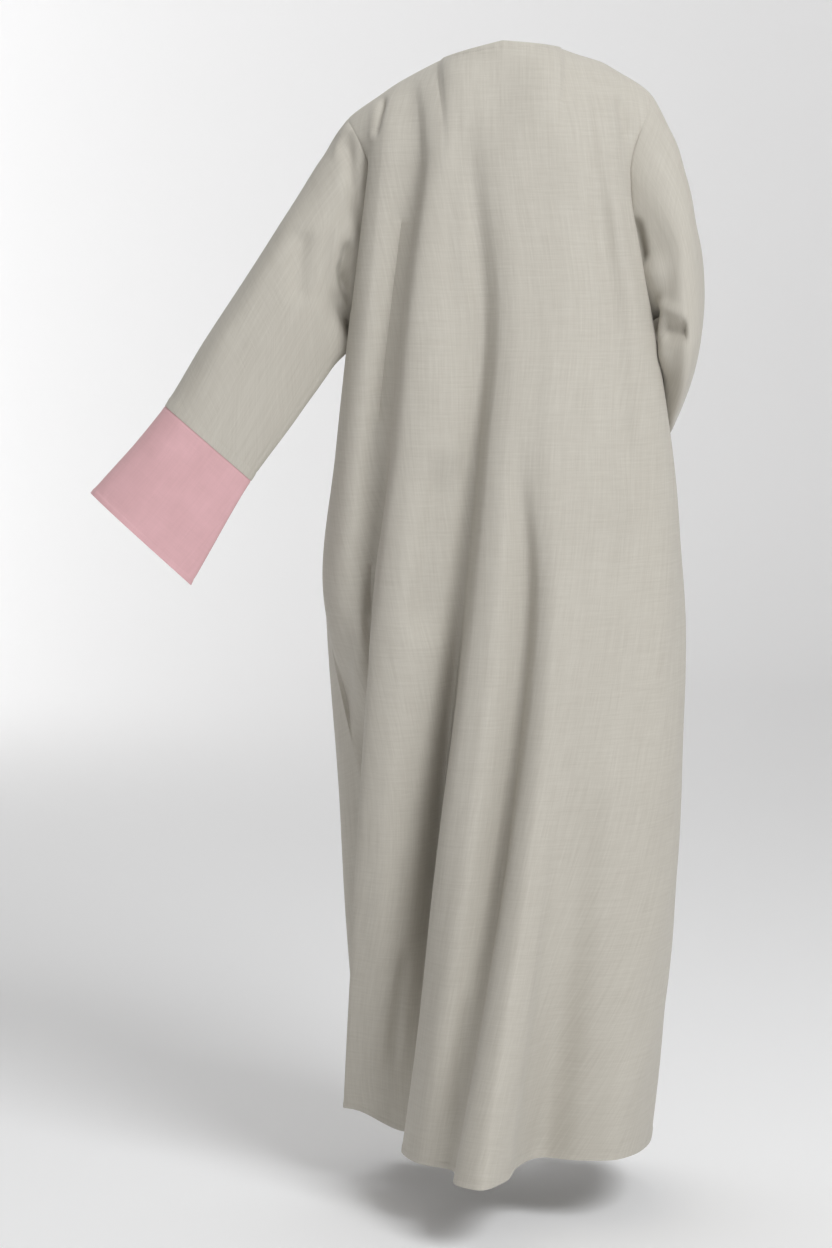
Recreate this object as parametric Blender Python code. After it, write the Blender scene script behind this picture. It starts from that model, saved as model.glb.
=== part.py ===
"""An open-front abaya cloak with wide contrast cuffs, shaped as it hangs when worn.

The cloth is a thin wall cut into seven pieces: a back, two fronts, two sleeves and two cuffs.
X runs to the wearer's left, the fronts face -Y and Z is up. The origin is at the base of the neck,
level with the middle of the back neckline and straight above the shoulder seams' ends, where the wearer
holds it up.
"""

import math
from collections import namedtuple

import bpy
import numpy as np

# Driving sizes, in metres.
LENGTH = 1.428
WALL = 0.002
SEAM_GAP = 0.00036
CREASE_ROOM = 1.3
COLUMN_SPACING = 0.0185
SHOULDER_ROWS = 6
ARMHOLE_ROWS = 7
SKIRT_ROWS = 20
SLEEVE_SPACING = 0.024

# Neckline and shoulders.
NECK_HALF_WIDTH = 0.078
NECK_BACK_REACH = 0.060
NECK_FRONT_REACH = 0.090
NECK_FRONT_DROP = 0.105
NECK_BLEND = 0.085
SHOULDER_LEFT = {"neck": -0.019, "slope": 0.48, "curve": 0.85}
SHOULDER_RIGHT = {"neck": -0.005, "slope": 0.43, "curve": 0.40}

# Heights of the named levels at which the fold lines are placed.
BLADE = -0.168
UNDERARM = -0.345
WAIST = -0.520
HIP = -0.690
KNEE = -1.030
HEM = -LENGTH
LEVELS = (BLADE, UNDERARM, WAIST, HIP, KNEE, HEM)

# The raised left arm lifts the hem beyond this distance from the middle.
HEM_RISE = 0.024
HEM_RISE_FROM = 0.128
HEM_RISE_OVER = 0.070

# How far the armhole's edges stand from the side seam's own line at blade level, in millimetres.
ARMHOLE_REACH = {
    ("left", "back"): (-5, 46),
    ("left", "front"): (-6, -46),
    ("right", "back"): (6, 45),
    ("right", "front"): (6, -46),
}

MM = 0.001

# Each row is one line down the cloth: a seam, an edge, or a fold's crest or hollow.
# "top" is its place across the shoulders. The other columns are its (x, y) at each level, in millimetres.
Line = namedtuple("Line", "name top blade underarm waist hip knee hem")

LEFT_SEAM = Line(
    "left side seam", 200, (174, 0), (183, -2), (211, -14), (229, -25), (172, 8), (165, -118)
)
RIGHT_SEAM = Line(
    "right side seam", -196, (-171, 0), (-180, -2), (-213, -18), (-237, -40), (-230, -48), (-203, -72)
)

BACK_LINES = (
    LEFT_SEAM,
    Line("left fold", 152, (171, 64), (193, 50), (212, 32), (231, 8), (140, 18), (150, -90)),
    Line("left roll", 136, (154, 84), (168, 84), (181, 72), (188, 56), (134, 34), (158, -70)),
    Line("first hollow", 112, (107, 88), (131, 84), (151, 70), (169, 48), (140, 50), (177, -60)),
    Line("first crest", 102, (94, 106), (116, 111), (132, 110), (158, 96), (185, 60), (207, -55)),
    Line("first slope", 78, (74, 113), (90, 118), (101, 118), (122, 115), (150, 82), (170, -40)),
    Line("first flank", 56, (53, 110), (54, 113), (66, 112), (85, 108), (112, 62), (140, -30)),
    Line("second hollow", 40, (40, 108), (24, 100), (34, 92), (50, 80), (82, 24), (118, -12)),
    Line("second crest", 24, (18, 114), (2, 120), (17, 128), (31, 133), (72, 140), (127, 100)),
    Line("second slope", 8, (3, 116), (-16, 125), (0, 135), (8, 143), (45, 157), (105, 160)),
    Line("third hollow", -8, (-11, 116), (-33, 124), (-24, 134), (-33, 126), (-4, 128), (66, 190)),
    Line("third crest", -20, (-23, 116), (-46, 123), (-38, 135), (-47, 146), (-13, 173), (56, 275)),
    Line("third fold's top", -32, (-34, 115), (-58, 122), (-56, 137),
         (-62, 152), (-31, 186), (32, 295)),
    Line("third slope", -44, (-46, 114), (-72, 120), (-75, 134), (-80, 148), (-50, 178), (1, 255)),
    Line("third fold's foot", -58, (-60, 113), (-88, 117), (-94, 129),
         (-98, 142), (-68, 160), (-20, 172)),
    Line("broad panel", -78, (-78, 111), (-106, 113), (-116, 123), (-123, 134), (-98, 147), (-50, 125)),
    Line("broad crest", -98, (-99, 106), (-129, 105), (-142, 112),
         (-152, 122), (-136, 142), (-98, 140)),
    Line("fourth hollow", -114, (-117, 93), (-148, 87), (-163, 92),
         (-178, 100), (-172, 120), (-147, 138)),
    Line("fourth crest", -128, (-135, 88), (-168, 79), (-187, 80),
         (-206, 80), (-196, 100), (-167, 116)),
    Line("right turn", -138, (-147, 77), (-184, 60), (-210, 56), (-227, 46), (-219, 68), (-187, 72)),
    Line("right fold", -152, (-158, 60), (-193, 42), (-222, 24), (-239, 3), (-235, 12), (-204, -12)),
    RIGHT_SEAM,
)

LEFT_FRONT_LINES = (
    LEFT_SEAM,
    Line("left turn", 150, (165, -60), (192, -54), (209, -65), (225, -76), (211, -54), (188, -150)),
    Line("left outer hollow", 116, (136, -86), (165, -94), (180, -106),
         (195, -118), (196, -116), (166, -168)),
    Line("left outer crest", 78, (105, -103), (125, -132), (140, -143),
         (150, -151), (160, -172), (150, -225)),
    Line("left inner hollow", 70, (80, -110), (92, -139), (99, -146),
         (105, -150), (112, -165), (105, -205)),
    Line("left inner crest", 50, (55, -113), (62, -146), (67, -158),
         (70, -168), (75, -195), (78, -245)),
    Line("left front edge", 22, (25, -110), (28, -147), (31, -157), (34, -165), (42, -190), (55, -235)),
)

RIGHT_FRONT_LINES = (
    RIGHT_SEAM,
    Line("right turn", -150, (-162, -58), (-176, -55), (-190, -72),
         (-216, -95), (-206, -105), (-190, -130)),
    Line("right outer hollow", -116, (-132, -84), (-148, -92), (-164, -110),
         (-178, -128), (-172, -150), (-165, -180)),
    Line("right outer crest", -78, (-104, -102), (-118, -126), (-130, -143),
         (-140, -158), (-140, -182), (-142, -228)),
    Line("right inner hollow", -70, (-80, -110), (-88, -138), (-94, -148),
         (-98, -154), (-100, -172), (-100, -208)),
    Line("right inner crest", -50, (-55, -113), (-60, -146), (-64, -160),
         (-66, -170), (-68, -196), (-72, -246)),
    Line("right front edge", -22, (-25, -110), (-28, -147), (-30, -157),
         (-32, -166), (-36, -190), (-46, -236)),
)

# Each row is one section of a sleeve, in millimetres: its middle, and the reach from there to the line
# that runs on from the shoulder seam ("top") and to the line down the back of the arm ("back").
# "hang_low" and "hang_back" pinch the section towards the underarm line or the back line, where the
# spare cloth hangs in two layers below the arm.
Section = namedtuple("Section", "name middle top back hang_low hang_back")

LEFT_SLEEVE = (
    Section("armhole", (186, 0, -215), (14, 0, 125), (-12, 44, 10), 0.0, 0.0),
    Section("upper arm", (233, 7, -263), (28, -1, 72), (-4, 52, 6), 0.20, 0.0),
    Section("above elbow", (262, 18, -334), (55, -4, 54), (0, 50, 4), 0.40, 0.0),
    Section("below elbow", (322, 32, -429), (62, -4, 46), (0, 40, 3), 0.50, 0.0),
    Section("cuff seam", (378, 44, -512), (55, -3, 48), (0, 33, 2), 0.55, 0.0),
    Section("cuff end", (464, 60, -635), (64, -3, 59), (0, 28, 2), 0.55, 0.0),
)
RIGHT_SLEEVE = (
    Section("armhole", (-184, 0, -205), (-12, 0, 133), (12, 42, 10), 0.0, 0.0),
    Section("upper arm", (-222, 2, -245), (-17, 0, 85), (4, 57, -4), 0.0, 0.0),
    Section("mid upper arm", (-233, 0, -313), (-26, 2, 66), (2, 72, -14), 0.0, 0.1),
    Section("above elbow", (-237, -12, -370), (-27, 6, 30), (0, 77, -46), 0.0, 0.2),
    Section("elbow", (-230, -60, -408), (-27, 0, 8), (6, 52, -84), 0.0, 0.4),
    Section("cuff seam", (-203, -138, -432), (-27, -18, 2), (4, 18, -90), 0.0, 0.5),
    Section("cuff end", (-112, -252, -452), (-22, -20, 2), (8, 10, -90), 0.0, 0.5),
)
GREY_SECTIONS_LEFT = 5
GREY_SECTIONS_RIGHT = 6

GREIGE = (0.50, 0.47, 0.42, 1.0)
PINK = (0.66, 0.40, 0.42, 1.0)
CLOTH_ROUGHNESS = 0.85


def curve_through(places, values, at):
    """Values at the places asked for, on a smooth curve through the given values at the given places."""
    places, values, at = (np.asarray(given, float) for given in (places, values, at))
    steps = np.diff(places)
    slopes = np.diff(values, axis=0) / steps.reshape(-1, *[1] * (values.ndim - 1))
    inner = steps.reshape(-1, *[1] * (values.ndim - 1))
    tangents = np.empty_like(values)
    tangents[1:-1] = (slopes[:-1] * inner[1:] + slopes[1:] * inner[:-1]) / (inner[:-1] + inner[1:])
    tangents[0], tangents[-1] = slopes[0], slopes[-1]
    index = np.clip(np.searchsorted(places, at, side="right") - 1, 0, len(places) - 2)
    shape = (-1, *[1] * (values.ndim - 1))
    step = steps[index].reshape(shape)
    t = ((at - places[index]) / steps[index]).reshape(shape)
    start, end = values[index], values[index + 1]
    return (
        start * (1 + 2 * t) * (1 - t) ** 2
        + end * t * t * (3 - 2 * t)
        + tangents[index] * step * t * (1 - t) ** 2
        - tangents[index + 1] * step * t * t * (1 - t)
    )


def eased(t):
    """0 below 0, 1 above 1, and a smooth rise between."""
    t = np.clip(t, 0, 1)
    return t * t * (3 - 2 * t)


def line_places(lines, height):
    """The (x, y) of every line at one height, in metres."""
    table = np.array([line[2:] for line in lines], float) * MM
    return np.array([curve_through(LEVELS[::-1], row[::-1], [height])[0] for row in table])


def columns_between(lines):
    """How many columns of faces each gap between two lines takes, from its width at the hip and the hem."""
    table = np.array([(line.hip, line.hem) for line in lines], float) * MM
    widths = np.linalg.norm(np.diff(table, axis=0), axis=2).mean(axis=1)
    return np.maximum(1, np.round(widths / COLUMN_SPACING)).astype(int)


def column_stations(counts):
    """Every column's place as a line's number plus a share of the gap to the next line."""
    stations = [np.arange(count) / count + index for index, count in enumerate(counts)]
    return np.append(np.concatenate(stations), len(counts))


def front_stations(lines, shoulder):
    """A front's column places, with as many from the side to the neck as the back has there."""
    neck = [line.top for line in lines].index(round(shoulder[-1] / MM))
    counts = columns_between(lines)
    shares = np.append(0, np.cumsum(counts[:neck])) / sum(counts[:neck])
    outer = np.interp(np.linspace(0, 1, len(shoulder)), shares, np.arange(neck + 1))
    return np.append(outer, column_stations(counts[neck:])[1:] + neck)


def ring(places, stations):
    """Points at the stations of the columns, on a smooth curve through one height's line places."""
    reach = np.append(0, np.cumsum(np.linalg.norm(np.diff(places, axis=0), axis=1)))
    return curve_through(reach, places, np.interp(stations, np.arange(len(reach)), reach))


def shoulder_height(x):
    """Height of the shoulder seam at a place across."""
    side = SHOULDER_LEFT if x > 0 else SHOULDER_RIGHT
    out = max(0.0, abs(x) - NECK_HALF_WIDTH)
    neck = side["neck"] * min(1.0, abs(x) / NECK_HALF_WIDTH)
    return neck - side["slope"] * out - side["curve"] * out * out


def back_top(x):
    """Top edge of the back: the shoulder seams, and the neckline between them."""
    across = min(1.0, abs(x) / NECK_HALF_WIDTH)
    return (x, NECK_BACK_REACH * math.sqrt(1 - across * across), shoulder_height(x))


def front_top(x):
    """Top edge of a front: the shoulder seam, then the neckline down to the front edge."""
    if abs(x) >= NECK_HALF_WIDTH:
        return (x, 0.0, shoulder_height(x))
    edge = abs(LEFT_FRONT_LINES[-1].top) * MM
    share = np.clip((abs(x) - edge) / (NECK_HALF_WIDTH - edge), 0, 1)
    drop = shoulder_height(x) - NECK_FRONT_DROP * (1 - share) ** 0.8
    return (x, -NECK_FRONT_REACH * math.sqrt(1 - share * share), drop)


def lifted(points, turned):
    """The points with the hem's rise on the raised arm's side, shared out down the skirt."""
    down = np.clip((UNDERARM - points[..., 2]) / (UNDERARM - HEM), 0, 1)
    points[..., 2] += HEM_RISE * eased((turned - HEM_RISE_FROM) / HEM_RISE_OVER) * down
    return points


def edge_offset(side, face, down):
    """The armhole edge's offset from the side seam's line, for a share of the way down the armhole."""
    return np.array(ARMHOLE_REACH[side, face], float) * MM * math.cos(down * math.pi / 2)


def panel(lines, face, sides, shoulder=()):
    """Grid of points for the back or a front, row by row from the shoulders to the hem.

    A front is given the back's shoulder places, so that both have the same points along that seam.
    """
    is_back = face == "back"
    stations = column_stations(columns_between(lines)) if is_back else front_stations(lines, shoulder)

    def row_at(height, down):
        places = line_places(lines, height)
        for index, side in sides.items():
            places[index] += edge_offset(side, face, down)
        flat = ring(places, stations)
        return np.column_stack([flat, np.full(len(flat), height)])

    armhole = [
        row_at(BLADE + (UNDERARM - BLADE) * math.sin(t * math.pi / 2), t)
        for t in np.arange(ARMHOLE_ROWS + 1) / ARMHOLE_ROWS
    ]
    skirt = [
        row_at(UNDERARM + (HEM - UNDERARM) * t, 1.0)
        for t in np.arange(1, SKIRT_ROWS + 1) / SKIRT_ROWS
    ]
    tops = np.interp(stations, np.arange(len(lines)), [line.top * MM for line in lines])
    tops[: len(shoulder)] = shoulder
    top_row = np.array([(back_top if is_back else front_top)(x) for x in tops])
    below = row_at(BLADE - 0.01, 0.0)
    shoulders = shoulder_patch(top_row, armhole[0], below - armhole[0], face)
    grid = np.array(shoulders + armhole + skirt)
    return lifted(grid, grid[-1][:, 0])


def shoulder_patch(top_row, blade_row, fall, face):
    """Rows that carry the cloth from its top edge over the shoulder and down to blade level."""
    outward = 1.0 if face == "back" else -1.0
    span = np.linalg.norm(blade_row - top_row, axis=1, keepdims=True)
    on_neck = 1 - eased(np.abs(top_row[:, 0]) / NECK_BLEND)
    start = np.column_stack(
        [
            np.sign(blade_row[:, 0]) * 0.10 * (1 - on_neck),
            outward * (1.0 - 0.45 * on_neck),
            -0.20 - 0.65 * on_neck,
        ]
    )
    start *= 1.15 * span / np.linalg.norm(start, axis=1, keepdims=True)
    end = fall * span / np.linalg.norm(fall, axis=1, keepdims=True)
    rows = []
    for t in np.arange(SHOULDER_ROWS) / SHOULDER_ROWS:
        rows.append(
            top_row * (1 + 2 * t) * (1 - t) ** 2
            + blade_row * t * t * (3 - 2 * t)
            + start * t * (1 - t) ** 2
            - end * t * t * (1 - t)
        )
    return rows


def armhole_loop(back_grid, front_grid, back_column, front_column):
    """The armhole's points, from the shoulder down the back edge and up the front edge."""
    depth = SHOULDER_ROWS + ARMHOLE_ROWS
    down = back_grid[: depth + 1, back_column]
    up = front_grid[1:depth, front_column][::-1]
    return np.concatenate([down, up])


def sleeve_sections(table, turn):
    """Points round every section of a sleeve's table, at the given angles."""
    rings = []
    for row in table:
        middle, top, back = (np.array(given, float) * MM for given in (row.middle, row.top, row.back))
        toward_top, toward_back = np.cos(turn)[:, None], np.sin(turn)[:, None]
        rings.append(
            middle
            + toward_top * (1 - row.hang_back * toward_back) * top
            + toward_back * (1 + row.hang_low * toward_top) * back
        )
    return np.array(rings)


def sleeve_rings(table, loop, grey_sections):
    """Rings from the armhole to the cuff's end, and the number of the ring at the cuff's seam."""
    turn = np.linspace(0, 2 * math.pi, len(loop), endpoint=False)
    sections = sleeve_sections(table, turn)
    middles = sections.mean(axis=1)
    reach = np.append(0, np.cumsum(np.linalg.norm(np.diff(middles, axis=0), axis=1)))
    grey_rows = round(reach[grey_sections - 1] / SLEEVE_SPACING)
    cuff_rows = round((reach[-1] - reach[grey_sections - 1]) / SLEEVE_SPACING)
    along = np.append(
        np.linspace(0, reach[grey_sections - 1], grey_rows, endpoint=False),
        np.linspace(reach[grey_sections - 1], reach[-1], cuff_rows + 1),
    )
    rings = curve_through(reach, sections, along)
    fade = 1 - eased(along / reach[2])
    return rings + (loop - sections[0]) * fade[:, None, None], grey_rows


def grid_faces(rows, columns, closed):
    """Quads of a grid, as rows of four point numbers. A closed grid's last column meets its first."""
    across = np.arange(columns if closed else columns - 1)
    row, column = np.meshgrid(np.arange(rows - 1), across, indexing="ij")
    here, below = row * columns, (row + 1) * columns
    after = (column + 1) % columns
    corners = [here + column, below + column, below + after, here + after]
    return np.stack(corners, axis=-1).reshape(-1, 4)


def grid_normals(grid, closed, flipped):
    """Outward unit normal at every point of one grid."""
    points = grid.reshape(-1, 3)
    quads = grid_faces(*grid.shape[:2], closed)
    if flipped:
        quads = quads[:, ::-1]
    corners = points[quads]
    face_normals = np.cross(corners[:, 2] - corners[:, 0], corners[:, 3] - corners[:, 1])
    summed = np.zeros_like(points)
    for corner in quads.T:
        np.add.at(summed, corner, face_normals)
    return (summed / np.linalg.norm(summed, axis=1, keepdims=True)).reshape(grid.shape)


def edge_parts(array, edge):
    """The row or column at the named edge, and the one next to it."""
    return {
        "top": (array[0], array[1]),
        "bottom": (array[-1], array[-2]),
        "first": (array[:, 0], array[:, 1]),
        "last": (array[:, -1], array[:, -2]),
    }[edge]


def place_key(point):
    return tuple(np.round(point, 6))


def seam_normals(grids, normals):
    """Every seam point's normals, one for each piece that meets there."""
    found = {}
    for name, seams in SEAMS.items():
        for seam in seams:
            points, _ = edge_parts(grids[name][0], seam)
            sides, _ = edge_parts(normals[name], seam)
            for point, normal in zip(points, sides):
                found.setdefault(place_key(point), []).append((name, normal))
    return found


def seam_direction(edge, closed, meeting):
    """The direction of a seam at each of its points, not turned by a free edge that runs on from it."""
    before, after = np.roll(edge, 1, axis=0), np.roll(edge, -1, axis=0)
    if not closed:
        before[0], after[-1] = edge[0], edge[-1]
        sewn = np.array([len(meeting[place_key(point)]) > 1 for point in edge])
        before = np.where((sewn & ~np.roll(sewn, 1))[:, None], edge, before)
        after = np.where((sewn & ~np.roll(sewn, -1))[:, None], edge, after)
    return after - before


def drawn_in(name, grids, normals, meeting):
    """One piece's grid with its seams drawn back, so that its wall clears the wall it is sewn to.

    Two walls that meet at a crease need more room than two that run on in one line.
    """
    grid = grids[name][0].copy()
    moves = []
    for seam in SEAMS[name]:
        edge, inner = edge_parts(grid, seam)
        own, _ = edge_parts(normals[name], seam)
        along = seam_direction(edge, grids[name][1], meeting)
        inward = np.cross(along, own)
        inward /= np.linalg.norm(inward, axis=1, keepdims=True)
        inward *= np.sign(np.sum(inward * (inner - edge), axis=1, keepdims=True))
        for index, point in enumerate(edge):
            agree = min(float(own[index] @ other) for piece, other in meeting[place_key(point)])
            turn = math.acos(max(-0.9, min(1.0, agree)))
            back_off = SEAM_GAP / 2 + CREASE_ROOM * WALL / 2 * math.tan(turn / 2)
            moves.append((edge, index, inward[index] * back_off))
    for edge, index, move in moves:
        edge[index] += move
    return grid


def make_wall(name, grid, normals, closed, flipped, material):
    """One piece of cloth as a closed wall round the grid, half its thickness to each side."""
    rows, columns = grid.shape[:2]
    outer = (grid + normals * WALL / 2).reshape(-1, 3)
    inner = (grid - normals * WALL / 2).reshape(-1, 3)
    quads = grid_faces(rows, columns, closed)
    if flipped:
        quads = quads[:, ::-1]
    count = rows * columns
    directed = {(a, b) for quad in quads.tolist() for a, b in zip(quad, quad[1:] + quad[:1])}
    rims = [(b, a, a + count, b + count) for a, b in directed if (b, a) not in directed]
    halves = np.concatenate([quads[:, [0, 1, 2]], quads[:, [0, 2, 3]]])
    faces = halves.tolist() + (halves[:, ::-1] + count).tolist() + sorted(rims)
    mesh = bpy.data.meshes.new(name)
    mesh.from_pydata(np.concatenate([outer, inner]).tolist(), [], faces)
    mesh.materials.append(material)
    mesh.shade_smooth()
    mesh.set_sharp_from_angle(angle=math.radians(60))
    piece = bpy.data.objects.new(name, mesh)
    bpy.context.scene.collection.objects.link(piece)
    return piece


def cloth_material(name, colour):
    material = bpy.data.materials.new(name)
    material.use_nodes = True
    shader = material.node_tree.nodes["Principled BSDF"]
    shader.inputs["Base Color"].default_value = colour
    shader.inputs["Roughness"].default_value = CLOTH_ROUGHNESS
    shader.inputs["Metallic"].default_value = 0.0
    return material


def build_grids():
    """Every piece's grid of points, whether it closes round, and whether its faces turn over."""
    back = panel(BACK_LINES, "back", {0: "left", -1: "right"})
    across = back[0][:, 0]
    left_front = panel(LEFT_FRONT_LINES, "front", {0: "left"}, across[across >= NECK_HALF_WIDTH])
    right_front = panel(RIGHT_FRONT_LINES, "front", {0: "right"}, across[across <= -NECK_HALF_WIDTH][::-1])
    grids = {
        "back": (back, False, True),
        "front_left": (left_front, False, False),
        "front_right": (right_front, False, True),
    }
    sleeves = (
        ("left", LEFT_SLEEVE, armhole_loop(back, left_front, 0, 0), GREY_SECTIONS_LEFT, True),
        ("right", RIGHT_SLEEVE, armhole_loop(back, right_front, -1, 0), GREY_SECTIONS_RIGHT, False),
    )
    for side, table, loop, grey_sections, flipped in sleeves:
        rings, seam_ring = sleeve_rings(table, loop, grey_sections)
        grids[f"sleeve_{side}"] = (rings[: seam_ring + 1], True, flipped)
        grids[f"cuff_{side}"] = (rings[seam_ring:], True, flipped)
    return grids


SEAMS = {
    "back": ("top", "first", "last"),
    "front_left": ("top", "first"),
    "front_right": ("top", "first"),
    "sleeve_left": ("top", "bottom"),
    "sleeve_right": ("top", "bottom"),
    "cuff_left": ("top",),
    "cuff_right": ("top",),
}


def main():
    for thing in list(bpy.data.objects):
        bpy.data.objects.remove(thing)
    greige = cloth_material("greige cloth", GREIGE)
    pink = cloth_material("pink cuff cloth", PINK)
    grids = build_grids()
    normals = {name: grid_normals(*given) for name, given in grids.items()}
    meeting = seam_normals(grids, normals)
    for name, (_, closed, flipped) in grids.items():
        material = pink if name.startswith("cuff") else greige
        grid = drawn_in(name, grids, normals, meeting)
        make_wall(name, grid, normals[name], closed, flipped, material)


main()
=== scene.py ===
"""Looks of an open-front abaya cloak with wide contrast cuffs, as it hangs when worn.

Each piece of cloth is a thin shell on the form of its solid, with its hems, seams, creases and threads.
X runs to the wearer's left, the fronts face -Y and Z is up.
"""

import math
from collections import namedtuple
from functools import lru_cache

import bpy
import numpy as np
from bpy.props import FloatProperty, FloatVectorProperty, PointerProperty
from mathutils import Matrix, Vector


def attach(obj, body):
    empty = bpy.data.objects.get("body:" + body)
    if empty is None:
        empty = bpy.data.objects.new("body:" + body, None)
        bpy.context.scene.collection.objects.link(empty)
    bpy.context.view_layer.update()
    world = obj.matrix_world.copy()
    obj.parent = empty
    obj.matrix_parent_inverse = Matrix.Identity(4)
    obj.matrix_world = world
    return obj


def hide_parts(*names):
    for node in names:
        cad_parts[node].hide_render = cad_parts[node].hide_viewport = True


bl_info = {
    "name": "Abaya cloak",
    "version": (1, 0, 0),
    "blender": (4, 5, 0),
    "location": "View3D > Sidebar > Abaya",
    "description": "Makes an open-front abaya cloak of slubbed cloth with contrast cuffs, as worn",
    "category": "Add Mesh",
}

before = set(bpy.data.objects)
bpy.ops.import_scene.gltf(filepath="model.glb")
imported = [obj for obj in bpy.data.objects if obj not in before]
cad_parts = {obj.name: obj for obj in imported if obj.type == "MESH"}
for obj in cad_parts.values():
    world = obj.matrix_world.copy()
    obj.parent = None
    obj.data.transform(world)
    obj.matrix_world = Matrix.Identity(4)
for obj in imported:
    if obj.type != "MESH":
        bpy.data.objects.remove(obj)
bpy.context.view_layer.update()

MM = 0.001

# Slack for comparing places: computed ones, and ones on cloth that has moved, in metres.
SLACK = 1e-6
MOVED_SLACK = 1e-4

# Sizes of the cut, in metres. They are the same as those of the solids.
LENGTH = 1.428
COLUMN_SPACING = 0.0185
SOLID_SHOULDER_ROWS = 6
SOLID_ARMHOLE_ROWS = 7
NECK_HALF_WIDTH = 0.078
NECK_BACK_REACH = 0.060
NECK_FRONT_REACH = 0.090
NECK_FRONT_DROP = 0.105
NECK_FRONT_CURVE = 0.8
NECK_BLEND = 0.085
SHOULDER_LEFT = {"neck": -0.019, "slope": 0.48, "curve": 0.85}
SHOULDER_RIGHT = {"neck": -0.005, "slope": 0.43, "curve": 0.40}

# Heights of the named levels at which the fold lines are placed.
BLADE = -0.168
UNDERARM = -0.345
WAIST = -0.520
HIP = -0.690
KNEE = -1.030
HEM = -LENGTH
LEVELS = (BLADE, UNDERARM, WAIST, HIP, KNEE, HEM)

# The raised left arm lifts the hem beyond this distance from the middle.
HEM_RISE = 0.024
HEM_RISE_FROM = 0.128
HEM_RISE_OVER = 0.070

# Fineness of the cloth's mesh: columns for each one of the solid's, and the rows' spacing, in metres.
COLUMN_SPLIT = 3
ROW_SPACING = 0.0068
SLEEVE_SPACING = 0.0036
SHOULDER_SPAN = 0.18
BELOW_BLADE = 0.01
ARMHOLE_ROWS = 35

# Distances from an edge at which a row or column is placed, at a seam, a hem and a sleeve's end.
SEAM_STEPS = (0.0, 0.0012, 0.0026, 0.0045)
HEM_STEPS = (0.0, 0.0014, 0.0040, 0.0064, 0.0074, 0.0084, 0.0110, 0.0150)
SLEEVE_END_STEPS = (0.0, 0.0012, 0.0045, 0.0085, 0.0108, 0.0120, 0.0132, 0.0170)
HEM_STITCH = HEM_STEPS[4]
SLEEVE_STITCH = SLEEVE_END_STEPS[5]

# How far the armhole's edges stand from the side seam's own line at blade level, in millimetres.
ARMHOLE_REACH = {
    ("left", "back"): (-5, 46),
    ("left", "front"): (-6, -46),
    ("right", "back"): (6, 45),
    ("right", "front"): (6, -46),
}

# Each row is one line down the cloth: a seam, an edge, or a fold's crest or hollow.
# "top" is its place across the shoulders. The other columns are its (x, y) at each level, in millimetres.
Line = namedtuple("Line", "name top blade underarm waist hip knee hem")

LEFT_SEAM = Line(
    "left side seam", 200, (174, 0), (183, -2), (211, -14), (229, -25), (172, 8), (165, -118)
)
RIGHT_SEAM = Line(
    "right side seam", -196, (-171, 0), (-180, -2), (-213, -18), (-237, -40), (-230, -48), (-203, -72)
)

BACK_LINES = (
    LEFT_SEAM,
    Line("left fold", 152, (171, 64), (193, 50), (212, 32), (231, 8), (140, 18), (150, -90)),
    Line("left roll", 136, (154, 84), (168, 84), (181, 72), (188, 56), (134, 34), (158, -70)),
    Line("first hollow", 112, (107, 88), (131, 84), (151, 70), (169, 48), (140, 50), (177, -60)),
    Line("first crest", 102, (94, 106), (116, 111), (132, 110), (158, 96), (185, 60), (207, -55)),
    Line("first slope", 78, (74, 113), (90, 118), (101, 118), (122, 115), (150, 82), (170, -40)),
    Line("first flank", 56, (53, 110), (54, 113), (66, 112), (85, 108), (112, 62), (140, -30)),
    Line("second hollow", 40, (40, 108), (24, 100), (34, 92), (50, 80), (82, 24), (118, -12)),
    Line("second crest", 24, (18, 114), (2, 120), (17, 128), (31, 133), (72, 140), (127, 100)),
    Line("second slope", 8, (3, 116), (-16, 125), (0, 135), (8, 143), (45, 157), (105, 160)),
    Line("third hollow", -8, (-11, 116), (-33, 124), (-24, 134), (-33, 126), (-4, 128), (66, 190)),
    Line("third crest", -20, (-23, 116), (-46, 123), (-38, 135), (-47, 146), (-13, 173), (56, 275)),
    Line("third fold's top", -32, (-34, 115), (-58, 122), (-56, 137),
         (-62, 152), (-31, 186), (32, 295)),
    Line("third slope", -44, (-46, 114), (-72, 120), (-75, 134), (-80, 148), (-50, 178), (1, 255)),
    Line("third fold's foot", -58, (-60, 113), (-88, 117), (-94, 129),
         (-98, 142), (-68, 160), (-20, 172)),
    Line("broad panel", -78, (-78, 111), (-106, 113), (-116, 123), (-123, 134), (-98, 147), (-50, 125)),
    Line("broad crest", -98, (-99, 106), (-129, 105), (-142, 112),
         (-152, 122), (-136, 142), (-98, 140)),
    Line("fourth hollow", -114, (-117, 93), (-148, 87), (-163, 92),
         (-178, 100), (-172, 120), (-147, 138)),
    Line("fourth crest", -128, (-135, 88), (-168, 79), (-187, 80),
         (-206, 80), (-196, 100), (-167, 116)),
    Line("right turn", -138, (-147, 77), (-184, 60), (-210, 56), (-227, 46), (-219, 68), (-187, 72)),
    Line("right fold", -152, (-158, 60), (-193, 42), (-222, 24), (-239, 3), (-235, 12), (-204, -12)),
    RIGHT_SEAM,
)

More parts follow.
